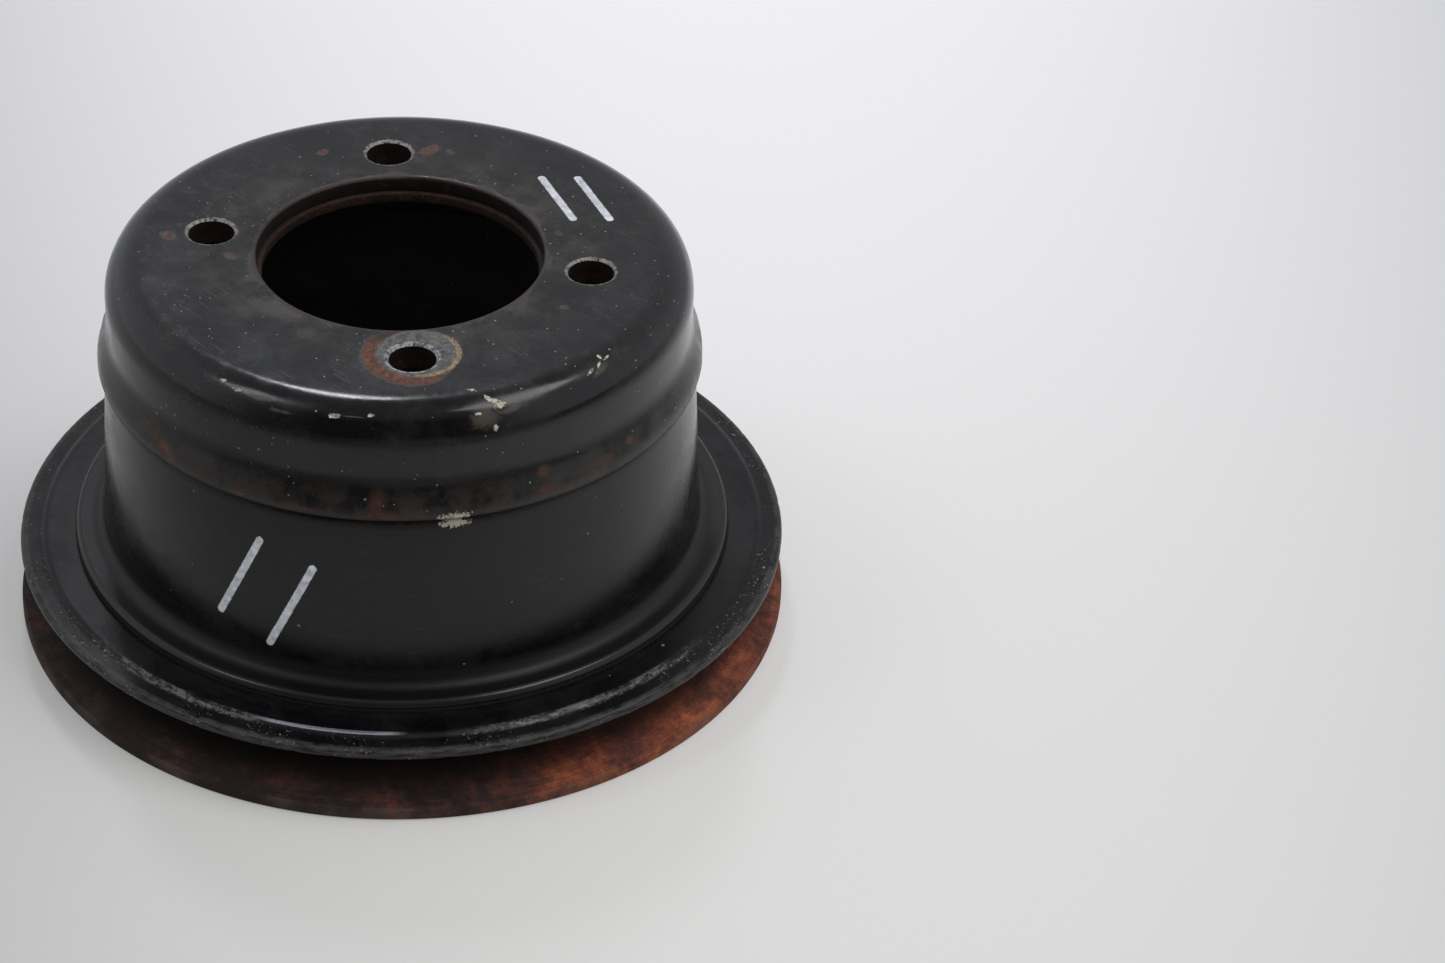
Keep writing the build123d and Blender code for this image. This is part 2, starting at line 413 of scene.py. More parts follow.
def cup_wear(x, y, z):
    """A slightly wavy wall with a shallow dent at each spot weld of the lap."""
    radius = math.hypot(x, y)
    if radius < 52.0:
        return 0.03 * noise.noise(Vector((x, y, z)) * 0.09)
    wave = 0.07 * noise.noise(Vector((x, y, z)) * 0.05)
    away = (math.degrees(math.atan2(y, x)) / 45 + 0.5) % 1 - 0.5
    near = (math.radians(away * 45) * radius) ** 2 + (z - 55.2) ** 2
    return wave - 0.16 * math.exp(-near / 3.6)


def rim_wear(x, y, z):
    """Small knocks along the rounded rim, and a faint waviness of the flange's top."""
    here = Vector((x, y, z))
    knock = max(0.0, noise.noise(here * 0.42) - 0.28) + 0.5 * max(0.0, noise.noise(here * 1.1) - 0.3)
    on_rim = min(max((math.hypot(x, y) - 69.6) / 0.9, 0.0), 1.0)
    return 0.02 * noise.noise(here * 0.06) - 0.30 * knock * on_rim


def finish_piece(piece, materials, angle=35.0):
    mesh = piece.data
    mesh.materials.clear()
    for material in materials:
        mesh.materials.append(material)
    mesh.polygons.foreach_set("use_smooth", [True] * len(mesh.polygons))
    mesh.set_sharp_from_angle(angle=math.radians(angle))


def bolt_holes(low, high, chamfer):
    return [(sx * BOLT_X, sy * BOLT_Y, BOLT_HOLE_R, low, high, chamfer)
            for sx in (-1, 1) for sy in (-1, 1)]


CUP_OUTSIDE = [(SKIRT_R, LAP_EDGE_Z), (SKIRT_R, 54.9), (CUP_R, 59.8),
               (CUP_R, HUB_FACE_Z), (BORE_R, HUB_FACE_Z)]
CUP_INSIDE = offset_path(CUP_OUTSIDE, CUP_SHEET)


def sheet(points, radii, thickness, near_round, far_round, step, far_changes=None):
    """Outline of a bent sheet whose two ends are rounded at the near side and the far side.

    The loop starts a quarter along the first run, which has to lie between the end's rounding
    and the first bend. far_changes gives the far side of a bend its own radius.
    """
    far = offset_path(points, thickness)
    far_radii = []
    for i, radius in enumerate(radii):
        a, b, c = (np.array(p) for p in points[i:i + 3])
        left = (b - a)[0] * (c - b)[1] - (b - a)[1] * (c - b)[0] > 0
        far_radii.append((far_changes or {}).get(i, radius - thickness if left else radius + thickness))
    mid = tuple(np.array(points[0]) * 0.75 + np.array(points[1]) * 0.25)
    loop = [mid, *points[1:], *far[::-1], points[0], mid]
    bends = [*radii, near_round[1], far_round[1], *far_radii[::-1], far_round[0], near_round[0]]
    return rounded(loop, bends, step)


def make_hub_cup():
    bends = [7.5, 7.5, 6.9]
    outline = sheet(CUP_OUTSIDE, bends, CUP_SHEET, (0.4, 0.5), (0.2, 0.2), 1.2)
    piece = lathe("hub_cup_look", outline)
    displace(piece, cup_wear)
    drill(piece, bolt_holes(HUB_FACE_Z - CUP_SHEET, HUB_FACE_Z, 0.45))
    return piece


def hub_area(at):
    """0 for the face, 1 for the raw walls of the bore and the bolt holes, 2 for the rest."""
    radius = math.hypot(at[0], at[1])
    hole = math.hypot(abs(at[0]) - BOLT_X, abs(at[1]) - BOLT_Y)
    if radius > FACE_R:
        return 2
    if at[2] > HUB_FACE_Z - 0.4:
        return 0
    return 1 if radius < BORE_R + 0.1 or hole < BOLT_HOLE_R + 0.5 else 2


def make_backing_ring():
    corners = [(BACKING_RING_R, RING_LOW_Z), (BACKING_RING_R, RING_TOP_Z), (PILOT_R, RING_TOP_Z),
               (PILOT_R, RING_LOW_Z)]
    mid = (34.0, RING_LOW_Z)
    outline = rounded([mid, *corners, mid], [0.2, 0.2, 0.3, 0.3], 1.2)
    piece = lathe("hub_backing_ring_look", outline)
    drill(piece, bolt_holes(RING_LOW_Z, RING_TOP_Z, 0))
    return piece


def lap_radius(z):
    (low_r, low_z), (high_r, high_z) = CUP_INSIDE[1:3]
    return low_r + (high_r - low_r) * (z - low_z) / (high_z - low_z)


def make_drum_shell():
    foot_top = FLANGE_TOP_Z + DRUM_SHEET
    neck_r = SKIRT_R - CUP_SHEET
    points = [(FOOT_LIP_R, foot_top), (55.9, foot_top), (54.1, 51.9), (neck_r, 52.6),
              CUP_INSIDE[1], (lap_radius(DRUM_END_Z), DRUM_END_Z)]
    bends = [2.6, 0.8, 0.4, 4.5]
    outline = sheet(points, bends, DRUM_SHEET, (1.2, 0.15), (0.15, 0.15), 1.2, {1: 0.3})
    return lathe("drum_shell_look", outline)


def make_front_flange():
    slope = GROOVE_SLOPE
    centre_r = FRONT_RIM_R - RIM_ROUND
    flank_end = (centre_r + RIM_ROUND * math.sin(slope), FRONT_RIM_Z - RIM_ROUND * math.cos(slope))
    root = (GROOVE_ROOT_R, flank_end[1] - (flank_end[0] - GROOVE_ROOT_R) * math.tan(slope))
    nose_end = (centre_r + RIM_ROUND * math.sin(LAND_TILT), FRONT_RIM_Z + RIM_ROUND * math.cos(LAND_TILT))
    land = (LAND_R, nose_end[1] + (nose_end[0] - LAND_R) * math.tan(LAND_TILT))
    outline = rounded([(56.0, root[1]), root, flank_end], [0.4], 1.2)
    first, last = -math.pi / 2 + slope, math.pi / 2 - LAND_TILT
    for k in range(1, 17):
        t = first + (last - first) * k / 16
        outline.append(np.array([centre_r + RIM_ROUND * math.cos(t), FRONT_RIM_Z + RIM_ROUND * math.sin(t)]))
    outline += rounded([nose_end, land, (SHOULDER_R, FLANGE_TOP_Z), (RING_BORE_R, FLANGE_TOP_Z),
                        (RING_BORE_R, root[1]), (56.0, root[1])], [1.5, 2.0, 0.2, 0.2], 1.0)[1:]
    piece = lathe("front_flange_look", outline)
    displace(piece, rim_wear)
    return piece


def make_rear_flange():
    slope = GROOVE_SLOPE
    edge_round = 0.5
    drop = edge_round * (1 / math.cos(slope) + math.tan(slope) - 1)
    rim_top = REAR_SHEET / math.cos(slope) - drop
    root_z = rim_top + (REAR_RIM_R - GROOVE_ROOT_R) * math.tan(slope)
    top = [(REAR_RIM_R, rim_top), (GROOVE_ROOT_R, root_z), (GROOVE_ROOT_R, WEB_Z), (RING_BORE_R, WEB_Z)]
    low = offset_path([(REAR_RIM_R + 2, rim_top - 2 * math.tan(slope))] + top[1:], REAR_SHEET)
    low[0] = (REAR_RIM_R, -drop)
    mid = ((REAR_RIM_R + GROOVE_ROOT_R) / 2, (rim_top + root_z) / 2)
    loop = [mid, *top[1:], *low[::-1], top[0], mid]
    bends = [0.9, 2.5, 0.2, 0.2, 0.2, 3.2, edge_round, edge_round]
    outline = rounded(loop, bends, 1.2)
    return lathe("rear_flange_look", outline)


# ---- materials ----------------------------------------------------------------------

SEAT_AT = (27.6, -19.7)       # a washer sat here, a little off its bolt hole
BLACK = rgb(0.0015, 0.0016, 0.0021)
FILM = rgb(0.0052, 0.0052, 0.0055)
DUST = rgb(0.30, 0.29, 0.27)
STEEL = rgb(0.34, 0.33, 0.31)
CHIP = rgb(0.46, 0.44, 0.37)
RUST_DARK = rgb(0.020, 0.009, 0.006)
RUST_RED = rgb(0.085, 0.024, 0.013)
RUST_ORANGE = rgb(0.24, 0.078, 0.032)
PEN = rgb(0.74, 0.77, 0.84)


class Coat(Shade):
    """A surface built up in layers, with places in millimetres."""

    def __init__(self, name, colour, rough, metal=0.0):
        self.material = bpy.data.materials.new(name)
        self.material.use_nodes = True
        super().__init__(self.material.node_tree)
        where = self.node("ShaderNodeTexCoord").outputs["Object"]
        self.where = self.vector("MULTIPLY", where, (1000.0, 1000.0, 1000.0))
        x, y, z = self.node("ShaderNodeSeparateXYZ", {0: self.where}).outputs
        self.x, self.y, self.z = x, y, z
        flat = self.node("ShaderNodeCombineXYZ", {0: x, 1: y}).outputs[0]
        self.radius = self.vector("LENGTH", flat, out=1)
        self.angle = self.math("DEGREES", self.math("ARCTAN2", y, x))
        self.colour, self.rough, self.metal, self.height = colour, rough, metal, 0.0

    def unrolled(self, radius):
        """The wall at this radius laid flat: (arc length, height)."""
        arc = self.math("MULTIPLY", self.angle, radius * math.pi / 180)
        return self.node("ShaderNodeCombineXYZ", {0: arc, 1: self.z}).outputs[0]

    def unrolled_cup(self):
        """The cup's wall, corner and face laid flat: (arc length, distance along the profile)."""
        arc = self.math("MULTIPLY", self.angle, WALL_R * math.pi / 180)
        inward = self.math("MAXIMUM", self.math("SUBTRACT", CUP_R, self.radius), 0.0)
        return self.node("ShaderNodeCombineXYZ", {0: arc, 1: self.math("ADD", self.z, inward)}).outputs[0]

    def cover(self, mask, colour, rough, metal=0.0, height=0.0):
        """Lays a coat over what is there where the mask is 1. Height is in millimetres."""
        self.colour = self.mix(mask, self.colour, colour)
        self.rough = self.blend(mask, self.rough, rough)
        self.metal = self.blend(mask, self.metal, metal)
        if height:
            self.height = self.math("ADD", self.height, self.math("MULTIPLY", mask, height))

    def where_flat(self):
        return self.node("ShaderNodeCombineXYZ", {0: self.x, 1: self.y}).outputs[0]

    def pen(self, lines, gate, strength):
        """White paint pen strokes, thin and uneven in the middle."""
        near = lines[0]
        for line in lines[1:]:
            near = self.math("MINIMUM", near, line)
        body = self.ragged(near, 0.72, 0.10, 0.35, 1.5)
        thin = self.remap(self.noise(self.where, 0.7, 4.0, 0.7), 0.35, 0.65, 0.55, 1.0)
        self.cover(self.both(body, thin, gate, strength), PEN, 0.55, 0.0, 0.03)

    def ragged(self, distance, edge, soft, wobble, scale=1.2):
        """1 where a distance is under an edge that noise makes uneven."""
        shift = self.math("MULTIPLY", self.math("SUBTRACT", self.noise(self.where, scale, 5.0, 0.7), 0.5),
                          wobble)
        return self.step(self.math("ADD", distance, shift), edge + soft, edge - soft)

    def blot(self, plane, place, size, turn=0.0):
        """Distance from a place, where 1 is the edge of an ellipse of this half size."""
        made = self.node("ShaderNodeMapping", {
            "Vector": plane, "Location": (*place, 0.0), "Rotation": (0.0, 0.0, math.radians(turn)),
            "Scale": (*size, 1.0)}, vector_type="TEXTURE")
        return self.vector("LENGTH", made.outputs[0], out=1)

    def nearest(self, wall, blots):
        """The least of several blot distances on an unrolled wall."""
        least = None
        for (angle, height), size, turn in blots:
            place = (math.radians(angle) * WALL_R, height)
            near = self.blot(wall, place, size, turn)
            least = near if least is None else self.math("MINIMUM", least, near)
        return least

    def stroke(self, plane, start, end):
        """Distance in millimetres from a straight stroke."""
        along = (end[0] - start[0], end[1] - start[1], 0.0)
        size = along[0] ** 2 + along[1] ** 2
        local = self.vector("SUBTRACT", plane, (*start, 0.0))
        t = self.math("DIVIDE", self.vector("DOT_PRODUCT", local, along, out=1), size, clamp=True)
        foot = self.node("ShaderNodeVectorMath", {0: along, 3: t}, operation="SCALE").outputs[0]
        return self.vector("LENGTH", self.vector("SUBTRACT", local, foot), out=1)

    def both(self, *masks):
        total = masks[0]
        for mask in masks[1:]:
            total = self.math("MULTIPLY", total, mask)
        return total

    def either(self, *masks):
        total = masks[0]
        for mask in masks[1:]:
            total = self.math("MAXIMUM", total, mask)
        return total

    def rust_colour(self, orange=0.0, scale=0.35):
        grain = self.noise(self.where, scale, 8.0, 0.68)
        fine = self.noise(self.where, scale * 9, 3.0, 0.6)
        level = self.math("ADD", self.math("ADD", grain, self.math("MULTIPLY", fine, 0.22)), orange - 0.11)
        return self.ramp(level, [(0.36, RUST_DARK), (0.50, RUST_RED), (0.66, RUST_ORANGE),
                                 (0.80, rgb(0.30, 0.13, 0.06))])

    def specks(self, spacing, share, size, colour=DUST, strength=1.0):
        """Scattered grains of dust or tiny chips."""
        scale = 1 / spacing
        pick = self.cells(self.where, scale, out="Color")
        parts = self.node("ShaderNodeSeparateColor", {0: pick}).outputs
        near = self.cells(self.where, scale)
        edge = self.math("MULTIPLY", parts[1], size / spacing)
        grain = self.math("LESS_THAN", near, edge)
        chosen = self.math("LESS_THAN", parts[0], share)
        mask = self.math("MULTIPLY", self.both(grain, chosen), strength)
        self.cover(mask, colour, 0.8, 0.0, 0.02)

    def scratches(self, turn, length, width, level, colour, strength, plane=None):
        """Short thin lines in one direction."""
        spin = (0.0, 0.0, math.radians(turn))
        made = self.node("ShaderNodeMapping", {
            "Vector": plane or self.where, "Rotation": spin, "Scale": (1 / length, 1 / width, 1 / width)})
        line = self.noise(made.outputs[0], 1.0, 2.0, 0.5)
        gate = self.step(self.noise(self.where, 0.09, 2.0), 0.42, 0.62)
        mask = self.both(self.step(line, level, level + 0.03), gate)
        self.cover(self.math("MULTIPLY", mask, strength), colour, 0.5, 0.0, -0.01)

    def finish(self, specular, grain=0.004, grain_scale=4.0):
        fine = self.noise(self.where, grain_scale, 3.0, 0.6)
        height = self.math("ADD", self.height, self.math("MULTIPLY", fine, grain))
        normal = self.bump(height, 1.0, MM)
        shader = self.node("ShaderNodeBsdfPrincipled", {
            "Base Color": self.colour, "Roughness": self.rough, "Metallic": self.metal,
            "Normal": normal, "Specular IOR Level": specular})
        self.node("ShaderNodeOutputMaterial", {"Surface": shader.outputs[0]})
        return self.material


def paint_base(name, rough=(0.17, 0.30)):
    """Black satin enamel with a cloudy film of oil and dust."""
    coat = Coat(name, BLACK, 0.2)
    cloud = coat.noise(coat.where, 0.10, 6.0, 0.62, 0.6)
    fine = coat.noise(coat.where, 0.8, 4.0, 0.6)
    mist = coat.math("ADD", coat.math("MULTIPLY", cloud, 0.75), coat.math("MULTIPLY", fine, 0.25))
    coat.colour = coat.mix(coat.step(mist, 0.40, 0.66), BLACK, FILM)
    coat.rough = coat.remap(mist, 0.38, 0.62, rough[0], rough[1])
    orange_peel = coat.noise(coat.where, 0.45, 2.0, 0.4)
    coat.height = coat.math("MULTIPLY", orange_peel, 0.012)
    return coat


# Places on the hub cup: angle in degrees and distance along the profile, then half sizes
# in mm and a turn in degrees
WALL_R = 54.5
CORNER_CHIPS = [((-26.3, 80.6), (2.2, 0.55), -38), ((-22.6, 76.6), (2.2, 0.75), -48),
                ((-21.3, 75.0), (1.5, 1.1), 20), ((-25.8, 73.6), (0.7, 0.5), 0),
                ((-23.0, 69.6), (0.6, 0.9), 0),
                ((-53.4, 73.8), (1.35, 0.75), 12), ((-46.6, 74.7), (0.75, 0.65), 0),
                ((-74.4, 74.8), (1.3, 0.8), 0), ((-78.0, 75.6), (0.9, 0.7), 0),
                ((0.0, 75.4), (1.5, 0.45), 22), ((2.8, 76.0), (1.4, 0.4), 35),
                ((5.6, 76.6), (1.3, 0.35), 10),
                ((4.2, 77.6), (0.4, 1.0), 0), ((-31.2, 53.5), (3.6, 0.95), 0)]
DULL_SPOTS = [((-24.6, 72.0), (3.2, 2.6), 0), ((-64.3, 72.6), (2.6, 0.5), 0), ((-69.3, 74.6), (2.8, 0.8), 4),
              ((-50.0, 74.0), (2.6, 0.22), 0), ((-19.0, 73.2), (3.4, 0.9), 10),
              ((2.4, 74.6), (2.2, 0.9), 20)]
WALL_RUST = [((-94.0, 57.6), (2.8, 2.6), 0), ((-90.0, 55.2), (4.2, 2.2), 0), ((-86.5, 54.6), (1.9, 1.6), 0),
             ((-45.2, 56.4), (2.0, 3.2), 0), ((-44.6, 54.2), (4.1, 1.6), 0), ((-13.6, 58.4), (1.7, 1.3), 0),
             ((-14.0, 55.4), (2.6, 0.9), 0), ((-1.0, 55.4), (3.6, 1.6), 15), ((6.5, 57.0), (1.4, 1.0), 0),
             ((-58.0, 54.2), (2.2, 0.6), 0), ((-71.0, 53.8), (2.6, 0.6), 0), ((52.0, 54.6), (3.0, 1.3), 0),
             ((90.0, 56.0), (3.3, 2.5), 0), ((135.0, 56.0), (2.6, 2.6), 0),
             ((178.0, 55.6), (2.0, 2.4), 0), ((-135.0, 55.8), (3.2, 2.3), 0)]
FACE_RUST = [((-32.0, -28.0), (1.9, 1.3)), ((-23.4, 27.6), (1.5, 2.4)), ((-20.5, 30.0), (1.1, 0.9)),
             ((-19.0, -24.0), (1.6, 1.0)), ((33.5, 9.5), (1.0, 0.7)), ((8.0, 33.0), (0.9, 0.7)),
             ((-36.0, 12.0), (1.1, 1.5)), ((14.5, 25.5), (1.1, 0.9))]


def start_hub(name):
    """The parts of the hub's paint that all its areas share."""
    coat = paint_base(name, (0.13, 0.26))
    coat.fine = coat.noise(coat.where, 1.3, 4.0, 0.7)
    coat.specks(1.3, 0.36, 0.22, DUST, 0.5)
    coat.specks(5.0, 0.4, 0.22, rgb(0.26, 0.25, 0.23), 0.55)
    mottle = coat.both(coat.step(coat.noise(coat.where, 0.30, 6.0, 0.72, 0.8), 0.50, 0.66),
                       coat.step(coat.noise(coat.where, 0.05, 2.0), 0.38, 0.60))
    coat.cover(coat.math("MULTIPLY", mottle, 0.5), rgb(0.017, 0.015, 0.015), 0.34)
    return coat


def hub_face_paint():
    """The face inside the corner: rust round the bore, a bright washer seat, a pen mark."""
    coat = start_hub("black_hub_face_paint")
    face = coat.where_flat()
    cloud = coat.step(coat.noise(coat.where, 0.12, 4.0), 0.42, 0.7)
    film = coat.both(coat.step(coat.radius, 40.0, 27.0), cloud)
    coat.cover(coat.math("MULTIPLY", film, 0.6), rgb(0.036, 0.028, 0.022), 0.42)
    coat.scratches(20, 9.0, 0.10, 0.66, DUST, 0.16)
    near_bore = coat.step(coat.radius, 31.0, 28.0)
    bright_rust = coat.rust_colour(0.02, 0.8)
    muted = coat.mix(coat.remap(coat.fine, 0.35, 0.65, 0.75, 0.15), bright_rust, rgb(0.050, 0.034, 0.029))
    rust = coat.mix(near_bore, muted, rgb(0.030, 0.017, 0.013))
    spots = None
    for place, size in FACE_RUST:
        near = coat.blot(face, place, size)
        spots = near if spots is None else coat.math("MINIMUM", spots, near)
    seat = coat.vector("DISTANCE", face, (*SEAT_AT, 0.0), out=1)
    from_seat = coat.vector("NORMALIZE", coat.vector("SUBTRACT", face, (*SEAT_AT, 0.0)))
    rusty_side = coat.vector("DOT_PRODUCT", from_seat, (-0.17, -0.98, 0.0), out=1)
    halo_edge = coat.remap(rusty_side, -0.35, 0.5, 7.4, 9.9)
    reach = coat.math("SUBTRACT", coat.radius, coat.remap(cloud, 0.0, 1.0, 0.0, 1.8))
    rusted = coat.either(coat.math("MULTIPLY", coat.ragged(spots, 0.7, 0.35, 1.6), 0.8),
                         coat.math("MULTIPLY", coat.ragged(reach, BORE_R + 0.4, 0.55, 1.5, 0.7), 0.5),
                         coat.ragged(coat.math("SUBTRACT", seat, halo_edge), 0.0, 0.5, 3.0, 0.8))
    coat.cover(rusted, rust, 0.78, 0.0, 0.03)
    # Worn hole edges, and the seat that a washer rubbed bright
    ax, ay = coat.math("ABSOLUTE", coat.x), coat.math("ABSOLUTE", coat.y)
    pair = coat.node("ShaderNodeCombineXYZ", {0: ax, 1: ay}).outputs[0]
    hole = coat.vector("DISTANCE", pair, (BOLT_X, BOLT_Y, 0.0), out=1)
    edge = coat.both(coat.ragged(hole, 4.72, 0.18, 0.8), coat.step(coat.fine, 0.34, 0.56))
    coat.cover(coat.math("MULTIPLY", edge, 0.75), STEEL, 0.5, 0.4)
    rings = coat.remap(coat.math("SINE", coat.math("MULTIPLY", seat, 9.0)), -1.0, 1.0, 0.0, 0.3)
    grain = coat.noise(coat.where, 0.9, 6.0, 0.75, 0.4)
    tone = coat.mix(coat.step(grain, 0.36, 0.64), rgb(0.022, 0.021, 0.022), rgb(0.125, 0.118, 0.118))
    tone = coat.mix(rings, tone, rgb(0.020, 0.018, 0.017))
    tan_side = coat.vector("DOT_PRODUCT", from_seat, (0.86, 0.50, 0.0), out=1)
    tan = coat.both(coat.step(seat, 6.4, 6.8), coat.step(tan_side, 0.1, 0.6),
                    coat.step(coat.fine, 0.36, 0.58))
    tone = coat.mix(tan, tone, rgb(0.26, 0.18, 0.085))
    bare = coat.both(coat.step(hole, 5.1, 4.8), coat.step(grain, 0.38, 0.58))
    tone = coat.mix(bare, tone, rgb(0.27, 0.28, 0.28))
    coat.cover(coat.ragged(seat, 7.5, 0.2, 0.7), tone, 0.42, 0.25, -0.05)
    lines = [coat.stroke(face, (-2.0, 36.5), (12.5, 31.0)), coat.stroke(face, (2.5, 41.5), (17.0, 36.0))]
    coat.pen(lines, 1.0, 0.85)
    return coat.finish(0.44)


def hub_hole_rust_and_painted_shade():
    coat = Coat("hub_hole_rust_and_painted_shade", RUST_RED, 0.8)
    # Rust mixed almost wholly into near black: painted shade inside the bore and the bolt holes.
    coat.colour = coat.mix(0.93, coat.rust_colour(-0.10, 0.5), rgb(0.004, 0.003, 0.0027))
    return coat.finish(0.3, 0.02)


def hub_wall_paint():
    """The corner with its chips, and the wall with rust where the lap was welded."""
    coat = start_hub("black_hub_wall_paint")
    wall = coat.unrolled_cup()
    cloud = coat.step(coat.noise(coat.where, 0.16, 5.0, 0.65), 0.34, 0.6)
    skirt = coat.both(coat.step(coat.z, 61.5, 55.0), cloud)
    coat.cover(coat.math("MULTIPLY", skirt, 0.75), rgb(0.026, 0.020, 0.016), 0.40)
    coat.scratches(20, 9.0, 0.10, 0.66, DUST, 0.16)
    patches = coat.nearest(wall, WALL_RUST)
    rusted = coat.both(coat.ragged(patches, 0.62, 0.42, 1.5, 0.7), coat.step(coat.radius, 52.0, 52.4))
    coat.cover(coat.math("MULTIPLY", rusted, 0.48), coat.rust_colour(-0.03), 0.7, 0.0, 0.02)
    seam = coat.both(coat.ragged(coat.z, 53.5, 0.25, 0.8), 0.8)
    coat.cover(seam, rgb(0.012, 0.009, 0.007), 0.7)
    smears = coat.ragged(coat.nearest(wall, DULL_SPOTS), 0.75, 0.45, 1.8, 1.0)
    coat.cover(coat.math("MULTIPLY", smears, 0.55), rgb(0.070, 0.058, 0.042), 0.5)
    chips = coat.ragged(coat.nearest(wall, CORNER_CHIPS), 0.75, 0.08, 2.3, 1.4)
    tone = coat.mix(coat.step(coat.fine, 0.42, 0.62), CHIP, rgb(0.12, 0.10, 0.08))
    coat.cover(chips, tone, 0.6, 0.15, -0.06)
    return coat.finish(0.44)


def drum_paint():
    coat = paint_base("black_drum_paint")
    wall = coat.unrolled(55.0)
    coat.scratches(8, 7.0, 0.10, 0.67, DUST, 0.10, plane=wall)
    coat.scratches(84, 8.0, 0.12, 0.66, DUST, 0.07, plane=wall)
    coat.specks(3.0, 0.22, 0.30, DUST, 0.45)
    dirt = coat.both(coat.step(coat.z, 24.0, 17.5),
                     coat.step(coat.noise(coat.where, 0.5, 5.0, 0.7), 0.40, 0.66))
    coat.cover(coat.math("MULTIPLY", dirt, 0.2), rgb(0.012, 0.010, 0.008), 0.5)
    lap = coat.both(coat.ragged(coat.math("SUBTRACT", 52.6, coat.z), 0.9, 0.5, 1.6, 0.5), 0.7)
    coat.cover(lap, rgb(0.022, 0.014, 0.010), 0.7)
    crevice = coat.both(coat.ragged(coat.z, 16.5, 0.3, 0.8), coat.step(coat.radius, 60.0, 60.6))
    coat.cover(coat.math("MULTIPLY", crevice, 0.8), rgb(0.020, 0.016, 0.013), 0.85)
    chip = coat.ragged(coat.blot(wall, (math.radians(-31.2) * 55, 51.3), (3.3, 1.0)), 0.75, 0.1, 2.3, 1.4)
    coat.cover(coat.both(chip, 0.85), CHIP, 0.6, 0.1, -0.05)
    # The foot between the wall and the lip's edge is painted near black and dull as painted shade of the
    # crease, and its outer edge is rubbed glossy
    foot_painted_shade = coat.both(coat.step(coat.z, 21.5, 20.0), coat.step(coat.radius, 60.5, 59.9), 0.9)
    coat.cover(foot_painted_shade, rgb(0.0015, 0.0014, 0.0014), 0.48)
    ridge = coat.both(coat.step(coat.radius, 60.1, 60.5), coat.step(coat.z, 16.5, 17.0))
    coat.cover(coat.math("MULTIPLY", ridge, 0.8), rgb(0.010, 0.010, 0.010), 0.17)
    marks = [coat.stroke(wall, (math.radians(-76.5) * 55, 27.0), (math.radians(-68.0) * 55, 44.5)),
             coat.stroke(wall, (math.radians(-66.0) * 55, 23.5), (math.radians(-57.5) * 55, 41.0))]
    coat.pen(marks, coat.step(coat.radius, 54.0, 54.05), 0.95)
    inside = coat.step(coat.radius, 53.0, 52.6)
    coat.cover(coat.math("MULTIPLY", inside, 0.5), rgb(0.012, 0.009, 0.008), 0.6)
    return coat.finish(0.35)


